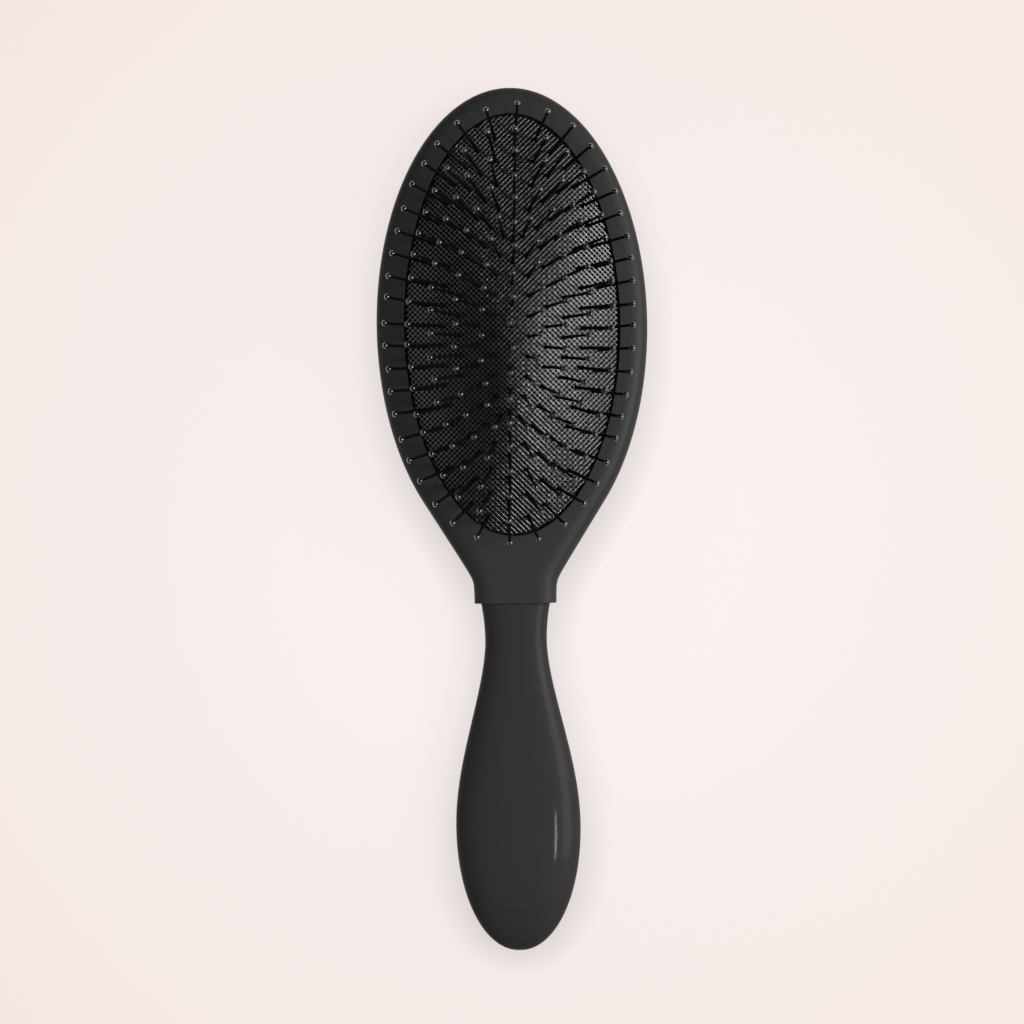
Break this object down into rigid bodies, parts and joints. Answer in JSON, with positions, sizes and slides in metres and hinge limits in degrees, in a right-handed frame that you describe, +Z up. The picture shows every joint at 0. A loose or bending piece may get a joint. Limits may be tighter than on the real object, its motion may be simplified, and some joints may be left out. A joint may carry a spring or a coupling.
{
  "type": "detangling brush",
  "caption": "Hand-held oval detangling brush: ball-tipped pins on a domed, woven-faced air cushion in a two-part head, with a swelling plug-in handle.",
  "frame": {"origin": "middle of the bounding box, on the surface that the brush lies on, with its back down", "axes": "+Z up out of the pins, +Y along the brush from the handle to the head, +X across the head"},
  "size_m": [0.0698, 0.222, 0.0406],
  "materials": {
    "shell": "charcoal ABS, fine satin texture",
    "grip": "charcoal soft-touch coating, satin",
    "cushion": "black rubber faced with a fine diagonal open weave",
    "pins": "glossy black nylon, ball tips",
    "inner_frame": "plain grey moulding, hidden"
  },
  "bodies": {
    "frame": {"head_front": "shell", "head_back": "shell", "cushion": "cushion", "cushion_clamp": "inner_frame", "handle_grip": "grip", "handle_core": "inner_frame", "end_cap": "grip"},
    "pad": {"bristles_ring_1": "pins", "bristles_ring_2": "pins", "bristles_ring_3": "pins", "bristles_ring_4": "pins", "bristles_ring_5": "pins", "bristles_middle": "pins"}
  },
  "joints": [
    {"name": "cushion_press", "type": "slide", "parent": "frame", "child": "pad", "axis": [0, 0, -1], "range_m": [0, 0.0025], "stiffness_N_per_m": 3000, "deforming": ["cushion"]}
  ]
}
